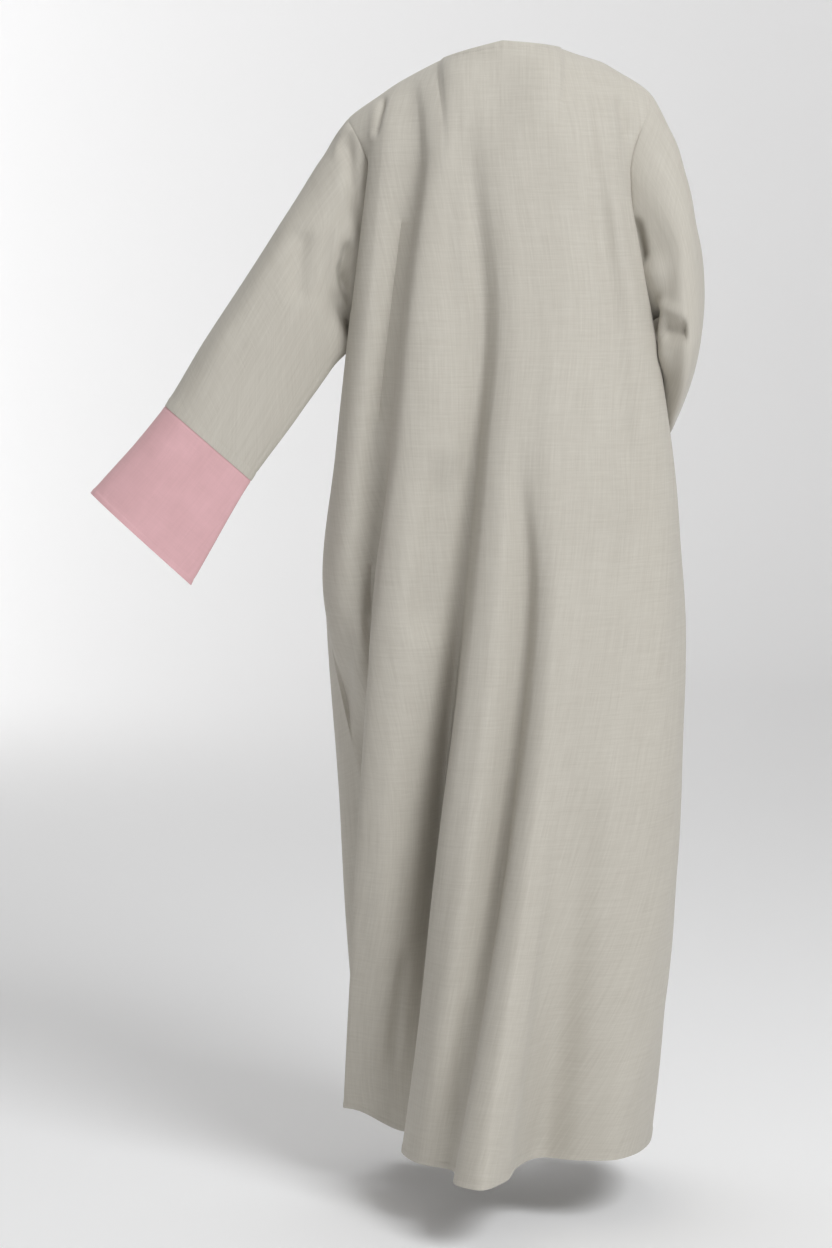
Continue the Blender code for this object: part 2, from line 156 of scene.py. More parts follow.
LEFT_FRONT_LINES = (
    LEFT_SEAM,
    Line("turn", 150, (165, -60), (192, -54), (209, -65), (225, -76), (211, -54), (188, -150)),
    Line("outer hollow", 116, (136, -86), (165, -94), (180, -106),
         (195, -118), (196, -116), (166, -168)),
    Line("outer crest", 78, (105, -103), (125, -132), (140, -143),
         (150, -151), (160, -172), (150, -225)),
    Line("inner hollow", 70, (80, -110), (92, -139), (99, -146),
         (105, -150), (112, -165), (105, -205)),
    Line("inner crest", 50, (55, -113), (62, -146), (67, -158),
         (70, -168), (75, -195), (78, -245)),
    Line("front edge", 22, (25, -110), (28, -147), (31, -157), (34, -165), (42, -190), (55, -235)),
)

RIGHT_FRONT_LINES = (
    RIGHT_SEAM,
    Line("right turn", -150, (-162, -58), (-176, -55), (-190, -72),
         (-216, -95), (-206, -105), (-190, -130)),
    Line("outer hollow", -116, (-132, -84), (-148, -92), (-164, -110),
         (-178, -128), (-172, -150), (-165, -180)),
    Line("outer crest", -78, (-104, -102), (-118, -126), (-130, -143),
         (-140, -158), (-140, -182), (-142, -228)),
    Line("inner hollow", -70, (-80, -110), (-88, -138), (-94, -148),
         (-98, -154), (-100, -172), (-100, -208)),
    Line("inner crest", -50, (-55, -113), (-60, -146), (-64, -160),
         (-66, -170), (-68, -196), (-72, -246)),
    Line("front edge", -22, (-25, -110), (-28, -147), (-30, -157),
         (-32, -166), (-36, -190), (-46, -236)),
)

# Each row is one section of a sleeve, in millimetres: its middle, and the reach from there to the line
# that runs on from the shoulder seam ("top") and to the line down the back of the arm ("back").
# "hang_low" and "hang_back" pinch the section towards the underarm line or the back line.
Section = namedtuple("Section", "name middle top back hang_low hang_back")

LEFT_SLEEVE = (
    Section("armhole", (186, 0, -215), (14, 0, 125), (-12, 44, 10), 0.0, 0.0),
    Section("upper arm", (233, 7, -263), (28, -1, 72), (-4, 52, 6), 0.20, 0.0),
    Section("above elbow", (262, 18, -334), (55, -4, 54), (0, 50, 4), 0.40, 0.0),
    Section("below elbow", (322, 32, -429), (62, -4, 46), (0, 40, 3), 0.50, 0.0),
    Section("cuff seam", (378, 44, -512), (55, -3, 48), (0, 33, 2), 0.55, 0.0),
    Section("cuff end", (464, 60, -635), (64, -3, 59), (0, 28, 2), 0.55, 0.0),
)
RIGHT_SLEEVE = (
    Section("armhole", (-184, 0, -205), (-12, 0, 133), (12, 42, 10), 0.0, 0.0),
    Section("upper arm", (-222, 2, -245), (-17, 0, 85), (4, 57, -4), 0.0, 0.0),
    Section("mid upper arm", (-233, 0, -313), (-26, 2, 66), (2, 72, -14), 0.0, 0.1),
    Section("above elbow", (-237, -12, -370), (-27, 6, 30), (0, 77, -46), 0.0, 0.2),
    Section("elbow", (-230, -60, -408), (-27, 0, 8), (6, 52, -84), 0.0, 0.4),
    Section("cuff seam", (-203, -138, -432), (-27, -18, 2), (4, 18, -90), 0.0, 0.5),
    Section("cuff end", (-112, -252, -452), (-22, -20, 2), (8, 10, -90), 0.0, 0.5),
)

# The sleeves' underarm seam comes round to the back of the arm by this angle, over this length.
UNDERARM_SEAM_TURN = math.radians(25)
UNDERARM_SEAM_OVER = 0.12

# Each row is one soft crease on a piece: its half widths toward the wearer's left and right and its depth,
# in millimetres, and its line in (x, z). A ridge has a negative depth.
Crease = namedtuple("Crease", "name left_width right_width depth line")

CREASES = {
    "sleeve_left": (
        Crease("shoulder trough", 8, 7, 7,
               ((201, -116), (197, -134), (194, -158), (190, -191), (186, -219), (182, -241))),
        Crease("shoulder edge ridge", 5, 5, -3, ((193, -104), (203, -112), (210, -130), (214, -149))),
        Crease("trough beside the edge", 5, 5, 2, ((205, -100), (212, -112), (220, -131))),
        Crease("upper arm trough", 14, 14, 8, ((252, -237), (257, -280), (258, -336))),
        Crease("arm ridge", 14, 14, -4.5,
               ((238, -189), (273, -237), (318, -323), (355, -378), (388, -428))),
        Crease("ridge to the underarm", 9, 9, -4, ((210, -227), (214, -280), (213, -328))),
        Crease("underarm pocket", 7, 7, 10, ((196, -252), (202, -287), (202, -318))),
        Crease("fold into the underarm", 5, 5, 6, ((211, -279), (203, -313), (195, -333))),
    ),
    "back": (
        Crease("shoulder fold", 4, 4, -4, ((156, -70), (161, -90), (163, -110), (167, -128))),
        Crease("shoulder fold's hollow", 4, 3.4, 7,
               ((150, -67), (154, -82), (158, -99), (161, -113), (163, -123))),
        Crease("beside the first crest", 26, 9, 14,
               ((105, -141), (123, -222), (135, -291), (143, -355), (156, -456), (167, -545), (176, -634))),
        Crease("below the first crest", 16, 9, 6.5,
               ((174, -583), (186, -672), (198, -762), (205, -864), (207, -967))),
        Crease("first crest's line", 8, 6, 7.5,
               ((147, -494), (155, -557), (160, -621), (166, -685), (174, -762))),
        Crease("mid back trough", 26, 16, 4.5,
               ((64, -142), (71, -204), (67, -267), (57, -330), (52, -393), (57, -456))),
        Crease("waist hollow", 26, 24, 16, ((72, -519), (83, -607), (92, -690), (100, -773))),
        Crease("right blade trough", 30, 13, 9,
               ((-119, -166), (-128, -266), (-137, -329), (-142, -392), (-147, -456), (-154, -519),
                (-156, -596))),
        Crease("right hip trough", 34, 26, 7, ((-152, -582), (-157, -710), (-157, -838), (-152, -954))),
        Crease("low third hollow", 9, 8, 5.5, ((120, -1165), (133, -1255), (144, -1345))),
        Crease("low fourth hollow", 9, 8, 5.5, ((43, -1208), (53, -1298), (66, -1374))),
        Crease("right shoulder trough", 6, 6, 4.0, ((-149, -72), (-156, -98), (-161, -125))),
    ),
    "sleeve_right": (
        Crease("right pocket", 6, 7, 10, ((-169, -223), (-174, -244), (-178, -262), (-179, -282))),
        Crease("elbow wedge", 11, 12, 13, ((-199, -361), (-212, -368), (-225, -368), (-239, -365))),
        Crease("elbow ridge", 8, 8, -4, ((-194, -328), (-214, -340), (-237, -351))),
    ),
    "front_left": (
        Crease("front chest fold left", 14, 14, 4, ((150, -90), (128, -160), (112, -230))),
    ),
    "front_right": (
        Crease("front chest fold right", 14, 14, 4, ((-146, -90), (-124, -150), (-112, -210))),
    ),
}

# A crease rises over this share of its line from a small share of its depth at both ends, and fades where
# the cloth turns away from the front or the back.
CREASE_RISE = 0.25
CREASE_END = 0.15
CREASE_TURN = 0.35

# Each row moves the cloth round one run, from "start" to "end", to where it hangs in wear, in millimetres.
# A held one leaves the seams where they are.
Shift = namedtuple("Shift", "name pieces start end radius move held")

SHIFTS = (
    Shift("left underarm", ("sleeve_left",), (210, 8, -342), (209, 14, -356), 22, (-14, 0, -25), True),
    Shift("left underarm's side", ("sleeve_left",), (207, 18, -370), (208, 22, -386), 20, (-7, 2, -3), True),
    Shift("right underarm", ("sleeve_right",), (-197, 4, -338), (-208, 10, -344), 17, (3, 6, -19), True),
    Shift("right arm's flank", ("sleeve_right",), (-205, 40, -296), (-212, 34, -392), 25, (9, 15, -2), True),
    Shift("right forearm's flank", ("sleeve_right",), (-214, 20, -415), (-213, -4, -462),
          24, (7, 11, 2), True),
    Shift("right shoulder", ("back", "front_right", "sleeve_right"), (-135, 0, -34), (-160, 0, -46),
          38, (-3, 0, 6), False),
    Shift("right upper arm", ("sleeve_right",), (-243, 0, -170), (-250, 0, -215), 40, (6, 0, 0), True),
)
SHIFT_CLEAR = 0.012  # a held shift is whole at this distance from the seams, in metres

# The cloth turns softly over the ends of the shoulder seams: within this reach, with this softness.
SHOULDER_REACH = 0.085
SHOULDER_SOFTNESS = 0.013


def cubic(start, end, leaving, arriving, t):
    """The smooth curve from start to end that leaves and arrives at the given slopes, at share t."""
    return (
        start * (1 + 2 * t) * (1 - t) ** 2
        + end * t * t * (3 - 2 * t)
        + leaving * t * (1 - t) ** 2
        - arriving * t * t * (1 - t)
    )


def curve_through(places, values, at):
    """Values at the places asked for, on a smooth curve through the given values at the given places."""
    places, values, at = (np.asarray(given, float) for given in (places, values, at))
    steps = np.diff(places)
    shape = (-1, *[1] * (values.ndim - 1))
    inner = steps.reshape(shape)
    slopes = np.diff(values, axis=0) / inner
    tangents = np.empty_like(values)
    tangents[1:-1] = (slopes[:-1] * inner[1:] + slopes[1:] * inner[:-1]) / (inner[:-1] + inner[1:])
    tangents[0], tangents[-1] = slopes[0], slopes[-1]
    index = np.clip(np.searchsorted(places, at, side="right") - 1, 0, len(places) - 2)
    step = steps[index].reshape(shape)
    t = ((at - places[index]) / steps[index]).reshape(shape)
    return cubic(values[index], values[index + 1], tangents[index] * step, tangents[index + 1] * step, t)


def eased(t):
    """0 below 0, 1 above 1, and a smooth rise between."""
    t = np.clip(t, 0, 1)
    return t * t * (3 - 2 * t)


def places_along(length, start_steps, end_steps, spacing):
    """Places along a length, at exact distances from both of its ends and evenly spaced between."""
    first, last = start_steps[-1], length - end_steps[-1]
    inner = np.linspace(first, last, round((last - first) / spacing) + 1)
    return np.concatenate([start_steps[:-1], inner, length - np.array(end_steps[:-1])[::-1]])


def line_places(lines, height):
    """The (x, y) of every line at one height, in metres."""
    table = np.array([line[2:] for line in lines], float) * MM
    return np.array([curve_through(LEVELS[::-1], row[::-1], [height])[0] for row in table])


def columns_between(lines, first_steps, last_steps):
    """How many columns each gap between two lines takes, with more beside the first and last lines."""
    table = np.array([(line.hip, line.hem) for line in lines], float) * MM
    widths = np.linalg.norm(np.diff(table, axis=0), axis=2).mean(axis=1)
    counts = COLUMN_SPLIT * np.maximum(1, np.round(widths / COLUMN_SPACING)).astype(int)
    counts[0] += len(first_steps) - 1
    counts[-1] += len(last_steps) - 1
    return counts


def column_stations(counts):
    """Every column's place as a line's number plus a share of the gap to the next line."""
    stations = [np.arange(count) / count + index for index, count in enumerate(counts)]
    return np.append(np.concatenate(stations), len(counts))


def front_stations(lines, counts, shoulder):
    """A front's column places, with as many from the side to the neck as the back has there."""
    neck = [line.top for line in lines].index(round(shoulder[-1] / MM))
    shares = np.append(0, np.cumsum(counts[:neck])) / sum(counts[:neck])
    outer = np.interp(np.linspace(0, 1, len(shoulder)), shares, np.arange(neck + 1))
    return np.append(outer, column_stations(counts[neck:])[1:] + neck)


def edge_placed(reach, stations, steps):
    """Distances of the columns from the first edge, with the ones beside it at exact steps."""
    count = np.searchsorted(stations, 1.0 - SLACK)
    rest = np.linspace(steps[-1], reach[count], count - len(steps) + 2)[1:]
    return np.concatenate([steps, rest, reach[count + 1 :]])


def both_edges_placed(reach, stations, first_steps, last_steps):
    """Distances of the columns along a row, with the ones beside both edges at exact steps."""
    reach = edge_placed(reach, stations, first_steps)
    turned = edge_placed(reach[-1] - reach[::-1], stations[-1] - stations[::-1], last_steps)
    return reach[-1] - turned[::-1]


def ring(places, stations, first_steps, last_steps):
    """Points at the stations of the columns, on a smooth curve through one height's line places."""
    reach = np.append(0, np.cumsum(np.linalg.norm(np.diff(places, axis=0), axis=1)))
    at = np.interp(stations, np.arange(len(reach)), reach)
    return curve_through(reach, places, both_edges_placed(at, stations, first_steps, last_steps))


def shoulder_height(x):
    """Height of the shoulder seam at a place across."""
    side = SHOULDER_LEFT if x > 0 else SHOULDER_RIGHT
    out = max(0.0, abs(x) - NECK_HALF_WIDTH)
    neck = side["neck"] * min(1.0, abs(x) / NECK_HALF_WIDTH)
    return neck - side["slope"] * out - side["curve"] * out * out


def back_top(x):
    """Top edge of the back: the shoulder seams, and the neckline between them."""
    across = min(1.0, abs(x) / NECK_HALF_WIDTH)
    return (x, NECK_BACK_REACH * math.sqrt(1 - across * across), shoulder_height(x))


def front_top(x):
    """Top edge of a front: the shoulder seam, then the neckline down to the front edge."""
    if abs(x) >= NECK_HALF_WIDTH - SLACK:
        return (x, 0.0, shoulder_height(x))
    edge = abs(LEFT_FRONT_LINES[-1].top) * MM
    share = np.clip((abs(x) - edge) / (NECK_HALF_WIDTH - edge), 0, 1)
    drop = shoulder_height(x) - NECK_FRONT_DROP * (1 - share) ** NECK_FRONT_CURVE
    return (x, -NECK_FRONT_REACH * math.sqrt(1 - share * share), drop)


def lifted(points, turned):
    """The points with the hem's rise on the raised arm's side, shared out down the skirt."""
    down = np.clip((UNDERARM - points[..., 2]) / (UNDERARM - HEM), 0, 1)
    points[..., 2] += HEM_RISE * eased((turned - HEM_RISE_FROM) / HEM_RISE_OVER) * down
    return points


def edge_offset(side, face, down):
    """The armhole edge's offset from the side seam's line, for a share of the way down the armhole."""
    return np.array(ARMHOLE_REACH[side, face], float) * MM * math.cos(down * math.pi / 2)


def shoulder_shares():
    """The rows' shares of the way from the top edge to blade level."""
    steps = np.array(HEM_STEPS) / SHOULDER_SPAN
    return places_along(1.0, steps, (0.0,), ROW_SPACING / SHOULDER_SPAN)[:-1]


def panel(lines, face, sides, shoulder=()):
    """Grid of points for the back or a front, row by row from the shoulders to the hem.

    A front is given the back's shoulder places, so that both have the same points along that seam.
    """
    last_steps = SEAM_STEPS if face == "back" else HEM_STEPS
    counts = columns_between(lines, SEAM_STEPS, last_steps)
    stations = column_stations(counts) if face == "back" else front_stations(lines, counts, shoulder)

    def row_at(height, down):
        places = line_places(lines, height)
        for index, side in sides.items():
            places[index] += edge_offset(side, face, down)
        flat = ring(places, stations, SEAM_STEPS, last_steps)
        return np.column_stack([flat, np.full(len(flat), height)])

    armhole = [
        row_at(BLADE + (UNDERARM - BLADE) * math.sin(t * math.pi / 2), t)
        for t in np.arange(ARMHOLE_ROWS + 1) / ARMHOLE_ROWS
    ]
    drops = places_along(UNDERARM - HEM, (0.0,), HEM_STEPS, ROW_SPACING)[1:]
    skirt = [row_at(UNDERARM - drop, 1.0) for drop in drops]
    tops = np.interp(stations, np.arange(len(lines)), [line.top * MM for line in lines])
    reach = both_edges_placed(abs(tops - tops[0]), stations, SEAM_STEPS, last_steps)
    tops = tops[0] + np.sign(tops[-1] - tops[0]) * reach
    tops[: len(shoulder)] = shoulder
    top_row = np.array([(back_top if face == "back" else front_top)(x) for x in tops])
    below = row_at(BLADE - BELOW_BLADE, 0.0)
    shoulders = shoulder_patch(top_row, armhole[0], below - armhole[0], face)
    grid = np.array(shoulders + armhole + skirt)
    return lifted(grid, grid[-1][:, 0])


# The way the cloth leaves its top edge, beside 1 outward at the shoulder seams, and how strongly.
LEAVE_SIDEWAYS = 0.10
LEAVE_OUTWARD_LOSS = 0.45
LEAVE_DOWN = 0.20
LEAVE_DOWN_AT_NECK = 0.65
LEAVE_STRENGTH = 1.15


def shoulder_patch(top_row, blade_row, fall, face):
    """Rows that carry the cloth from its top edge over the shoulder and down to blade level."""
    outward = 1.0 if face == "back" else -1.0
    span = np.linalg.norm(blade_row - top_row, axis=1, keepdims=True)
    on_neck = 1 - eased(np.abs(top_row[:, 0]) / NECK_BLEND)
    start = np.column_stack(
        [
            np.sign(blade_row[:, 0]) * LEAVE_SIDEWAYS * (1 - on_neck),
            outward * (1 - LEAVE_OUTWARD_LOSS * on_neck),
            -LEAVE_DOWN - LEAVE_DOWN_AT_NECK * on_neck,
        ]
    )
    start *= LEAVE_STRENGTH * span / np.linalg.norm(start, axis=1, keepdims=True)
    end = fall * span / np.linalg.norm(fall, axis=1, keepdims=True)
    return [cubic(top_row, blade_row, start, end, t) for t in shoulder_shares()]


def armhole_turns():
    """The angle round the sleeve of every point of the armhole, from the shoulder down the back."""
    shares = np.append(shoulder_shares() * SOLID_SHOULDER_ROWS,
                       SOLID_SHOULDER_ROWS + SOLID_ARMHOLE_ROWS * np.arange(ARMHOLE_ROWS + 1) / ARMHOLE_ROWS)
    down = math.pi * shares / (SOLID_SHOULDER_ROWS + SOLID_ARMHOLE_ROWS)
    return np.append(down, 2 * math.pi - down[1:-1][::-1])


def armhole_loop(back_grid, front_grid, back_column):
    """The armhole's points, from the shoulder down the back edge and up the front edge."""
    depth = len(shoulder_shares()) + ARMHOLE_ROWS
    return np.concatenate([back_grid[: depth + 1, back_column], front_grid[1:depth, 0][::-1]])


def sleeve_sections(table, turn):
    """Points round every section of a sleeve's table, at the given angles."""
    rings = []
    for row in table:
        middle, top, back = (np.array(given, float) * MM for given in (row.middle, row.top, row.back))
        toward_top, toward_back = np.cos(turn)[:, None], np.sin(turn)[:, None]
        rings.append(
            middle
            + toward_top * (1 - row.hang_back * toward_back) * top
            + toward_back * (1 + row.hang_low * toward_top) * back
        )
    return np.array(rings)


def sleeve_rings(table, loop):
    """Rings from the armhole to the cuff's end, and the number of the ring at the cuff's seam."""
    sections = sleeve_sections(table, armhole_turns())
    middles = np.array([row.middle for row in table], float) * MM
    reach = np.append(0, np.cumsum(np.linalg.norm(np.diff(middles, axis=0), axis=1)))
    grey, whole = reach[[row.name for row in table].index("cuff seam")], reach[-1]
    sleeve = places_along(grey, SEAM_STEPS, SLEEVE_END_STEPS, SLEEVE_SPACING)
    cuff = places_along(whole - grey, SEAM_STEPS, HEM_STEPS, SLEEVE_SPACING) + grey
    along = np.append(sleeve[:-1], cuff)
    rings = curve_through(reach, sections, along)
    fade = 1 - eased(along / reach[2])
    return rings + (loop - sections[0]) * fade[:, None, None], len(sleeve) - 1


def grid_faces(rows, columns, closed):
    """Quads of a grid, as rows of four point numbers. A closed grid's last column meets its first."""
    across = np.arange(columns if closed else columns - 1)
    row, column = np.meshgrid(np.arange(rows - 1), across, indexing="ij")
    here, below = row * columns, (row + 1) * columns
    after = (column + 1) % columns
    corners = [here + column, below + column, below + after, here + after]
    return np.stack(corners, axis=-1).reshape(-1, 4)


# Pieces whose rows run the other way round, so their faces are turned to look outward.
TURNED = ("front_left", "sleeve_right", "cuff_right")


def is_tube(name):
    return name.startswith(("sleeve", "cuff"))


def cloth_faces(name, grid):
    """Quads of one piece's grid, turned to look outward."""
    quads = grid_faces(*grid.shape[:2], is_tube(name))
    return quads[:, ::-1] if name in TURNED else quads


def grid_normals(name, grid):
    """Outward unit normal at every point of one piece."""
    points = grid.reshape(-1, 3)
    quads = cloth_faces(name, grid)
    corners = points[quads]
    face_normals = np.cross(corners[:, 2] - corners[:, 0], corners[:, 3] - corners[:, 1])
    summed = np.zeros_like(points)
    for corner in quads.T:
        np.add.at(summed, corner, face_normals)
    return (summed / np.linalg.norm(summed, axis=1, keepdims=True)).reshape(grid.shape)


def edge_of(array, edge):
    """The row or column at the named edge."""
    return {"top": array[0], "bottom": array[-1], "first": array[:, 0], "last": array[:, -1]}[edge]


def distance_from(grid, edge):
    """How far every point lies from one edge, measured along the grid's rows or columns."""
    axis = 0 if edge in ("top", "bottom") else 1
    steps = np.linalg.norm(np.diff(grid, axis=axis), axis=2)
    reach = np.insert(np.cumsum(steps, axis=axis), 0, 0.0, axis=axis)
    return reach if edge in ("top", "first") else reach.max(axis=axis, keepdims=True) - reach


SEAMS = {
    "back": ("top", "first", "last"),
    "front_left": ("top", "first"),
    "front_right": ("top", "first"),
    "sleeve_left": ("top", "bottom"),
    "sleeve_right": ("top", "bottom"),
    "cuff_left": ("top",),
    "cuff_right": ("top",),
}


def seam_groups(grids):
    """The places where two or more pieces are sewn together, as lists of (piece, edge, number)."""
    groups = {}
    for name, edges in SEAMS.items():
        for edge in edges:
            for number, point in enumerate(edge_of(grids[name], edge)):
                groups.setdefault(tuple(np.round(point, 6)), []).append((name, edge, number))
    return [group for group in groups.values() if len(group) > 1]


def joined(arrays, groups):
    """Makes the pieces agree at every seam, by sharing out what differs there."""
    for group in groups:
        mean = np.mean([edge_of(arrays[name], edge)[number] for name, edge, number in group], axis=0)
        for name, edge, number in group:
            edge_of(arrays[name], edge)[number] = mean


def seam_distance(name, grid):
    """How far every point lies from its piece's nearest seam."""
    return np.min([distance_from(grid, edge) for edge in SEAMS[name]], axis=0)


def near_line(points, line):
    """Each point's distance from a line of straight runs, and how far along it the nearest place is.

    For flat lines it also tells which points lie on the wearer's left of a line that runs down.
    """
    line = np.array(line, float) * MM
    reach = np.append(0, np.cumsum(np.linalg.norm(np.diff(line, axis=0), axis=1)))
    best = np.full(len(points), np.inf)
    place = np.zeros(len(points))
    on_left = np.zeros(len(points), bool)
    for start, end, before in zip(line, line[1:], reach):
        run = end - start
        share = np.clip((points - start) @ run / (run @ run), 0, 1)
        distance = np.linalg.norm(points - start - share[:, None] * run, axis=1)
        nearer = distance < best
        best[nearer] = distance[nearer]
        place[nearer] = before + share[nearer] * np.linalg.norm(run)
        offset = points - start
        on_left[nearer] = (run[0] * offset[:, -1] - run[-1] * offset[:, 0])[nearer] > 0
    return best, place / reach[-1], on_left


def creased(name, grid, normals, strength):
    """The grid with its soft creases pressed in."""
    points, outward = grid.reshape(-1, 3), normals.reshape(-1, 3)
    facing = eased((-outward if name.startswith("front") else outward)[:, 1] / CREASE_TURN)
    depth = np.zeros(len(points))
    for crease in CREASES.get(name, ()):
        distance, share, on_left = near_line(points[:, [0, 2]], crease.line)
        ends = eased(share / CREASE_RISE + CREASE_END) * eased((1 - share) / CREASE_RISE + CREASE_END)
        width = np.where(on_left, crease.left_width, crease.right_width) * MM
        depth += np.exp(-((distance / width) ** 2)) * ends * facing * crease.depth * MM
    return grid - (outward * depth[:, None] * strength).reshape(grid.shape)


def shifted(name, grid):
    """The grid eased to where the cloth hangs in wear."""
    points = grid.reshape(-1, 3)
    clear = eased(seam_distance(name, grid) / SHIFT_CLEAR).ravel()
    move = np.zeros_like(points)
    for shift in SHIFTS:
        if name in shift.pieces:
            distance, _, _ = near_line(points, (shift.start, shift.end))
            share = np.exp(-((distance / (shift.radius * MM)) ** 2)) * (clear if shift.held else 1.0)
            move += share[:, None] * np.array(shift.move, float) * MM
    return (points + move).reshape(grid.shape)


def rounded(grids, corner):
    """Softens the cloth round one end of a shoulder seam, by the mean of what lies near each point."""
    near, areas = [], []
    for grid in grids.values():
        area = np.linalg.norm(np.cross(np.gradient(grid, axis=0), np.gradient(grid, axis=1)), axis=2)
        close = np.linalg.norm(grid - corner, axis=2) < SHOULDER_REACH + 3 * SHOULDER_SOFTNESS
        near.append(grid[close])
        areas.append(area[close])
    near, areas = np.concatenate(near), np.concatenate(areas)
    for grid in grids.values():
        distance = np.linalg.norm(grid - corner, axis=2)
        close = distance < SHOULDER_REACH
        if not close.any():
            continue
        points = grid[close]
        apart = np.linalg.norm(points[:, None] - near[None], axis=2)
        weight = areas * np.exp(-0.5 * (apart / SHOULDER_SOFTNESS) ** 2)
        mean = weight @ near / weight.sum(axis=1, keepdims=True)
        share = eased(2 * (1 - distance[close] / SHOULDER_REACH))
        grid[close] = points + share[:, None] * (mean - points)


# The uneven waves: how far each one's length varies, how far it turns, how much more it turns down the
# cloth, how many there are, and their height.
WAVE_STRETCH = (0.6, 1.7)
WAVE_TURN = 0.35
WAVE_TURN_DOWN = 3
WAVE_COUNT = 7
WAVE_HEIGHT = 1.6


def waves(across, down, seed, lengths):
    """Soft uneven waves between about -1 and 1, with the given lengths across and down."""
    rng = np.random.default_rng(seed)
    total = np.zeros_like(across)
    for _ in range(WAVE_COUNT):
        stretch = rng.uniform(*WAVE_STRETCH, 2)
        turn, phase = rng.uniform(-WAVE_TURN, WAVE_TURN), rng.uniform(0, 2 * math.pi)
        turned = down / (lengths[1] * stretch[1]) * turn * WAVE_TURN_DOWN
        total += np.sin(2 * math.pi * (across / (lengths[0] * stretch[0]) + turned) + phase)
    return total / WAVE_COUNT * WAVE_HEIGHT


def cloth_places(name, grid, middle, level):
    """Every point's place in the flat cloth: across from the middle column, and down from the level row.

    A tube gets one more column, where it comes round to its first.
    """
    if is_tube(name):
        grid = np.concatenate([grid, grid[:, :1]], axis=1)
    across = np.insert(np.cumsum(np.linalg.norm(np.diff(grid, axis=1), axis=2), axis=1), 0, 0.0, axis=1)
    down = np.insert(np.cumsum(np.linalg.norm(np.diff(grid, axis=0), axis=2), axis=0), 0, 0.0, axis=0)
    return np.stack([across - across[:, [middle]], down - down[[level]]], axis=-1)


# One piece of cloth: its middle surface, normals, how far both sides stand from it, and its cloth places.
Cloth = namedtuple("Cloth", "name grid normals outer inner places")

# The free edges that are folded over and topstitched.
HEMS = {
    "back": ("bottom", "top"),
    "front_left": ("bottom", "top", "last"),
    "front_right": ("bottom", "top", "last"),
    "sleeve_left": ("bottom",),
    "sleeve_right": ("bottom",),
    "cuff_left": ("bottom",),
    "cuff_right": ("bottom",),
}

# The relief of folds, topstitching and seams: heights and how far each reaches, in metres.
FOLD_RAISE = 0.00042
STITCH_DIP = 0.00030
SEAM_DIP = 0.00055
SEAM_REACH = 0.0016
FOLD_EDGE = (0.0004, 0.0014)
STITCH_DIP_REACH = 0.0008
PUCKER = 0.00050
PUCKER_LENGTH = 0.015
PUCKER_DRIFT = 1.4
PUCKER_DRIFT_LENGTH = 0.071
PUCKER_REACH = 0.0045

# The cloth's own unevenness away from the seams: its height, its lengths and its distance from a seam.
UNEVEN_HEIGHT = 0.0009
UNEVEN_LENGTHS = (0.09, 0.30)
UNEVEN_FROM_SEAM = 0.03


def on_neckline(name, grid):
    """1 at the columns that run up to the neckline, and 0 at those that run up to a shoulder seam."""
    across = abs(grid[0][:, 0]) < NECK_HALF_WIDTH - MOVED_SLACK
    return np.ones((1, len(across))) if is_tube(name) else across[None, :]


def edge_relief(name, grid, places):
    """How far the outer and inner sides rise at folds and seams, and how much the fold's line puckers."""
    outer, inner = np.zeros(grid.shape[:2]), np.zeros(grid.shape[:2])
    pucker = np.zeros(grid.shape[:2])
    depth = SLEEVE_STITCH if name.startswith("sleeve") else HEM_STITCH
    for edge in HEMS[name]:
        distance = distance_from(grid, edge)
        mask = on_neckline(name, grid) if edge == "top" else 1.0
        fold = mask * FOLD_RAISE * (1 - eased((distance - depth + FOLD_EDGE[0]) / FOLD_EDGE[1]))
        dip = mask * STITCH_DIP * np.exp(-(((distance - depth) / STITCH_DIP_REACH) ** 2))
        outer += fold - dip
        inner += fold - dip
        along = places[:, : grid.shape[1], 1 if edge == "last" else 0]
        drift = PUCKER_DRIFT * np.sin(2 * math.pi * along / PUCKER_DRIFT_LENGTH)
        wave = np.sin(2 * math.pi * along / PUCKER_LENGTH + drift)
        pucker += mask * PUCKER * wave * np.exp(-(((distance - depth) / PUCKER_REACH) ** 2))
    for edge in SEAMS[name]:
        if edge == "bottom":
            continue
        distance = distance_from(grid, edge)
        partly_sewn = edge == "top" and "top" in HEMS[name]
        mask = 1.0 - on_neckline(name, grid) if partly_sewn else 1.0
        groove = mask * SEAM_DIP * np.exp(-((distance / SEAM_REACH) ** 2))
        outer -= groove
        inner += groove
    if is_tube(name):
        groove = SEAM_DIP * np.exp(-((underarm_seam_distance(name, grid, places) / SEAM_REACH) ** 2))
        outer -= groove
        inner += groove
    return outer, inner, pucker


def underarm_seam_distance(name, grid, places):
    """How far round the sleeve every point lies from its underarm seam."""
    turns = armhole_turns()
    down = places[:, 0, 1]
    turned = UNDERARM_SEAM_TURN * (1.0 if name.startswith("cuff") else eased(down / UNDERARM_SEAM_OVER))
    at = math.pi - np.broadcast_to(turned, down.shape)
    seam = np.array([np.interp(angle, turns, row[: len(turns), 0]) for angle, row in zip(at, places)])
    return abs(places[:, : len(turns), 0] - seam[:, None])


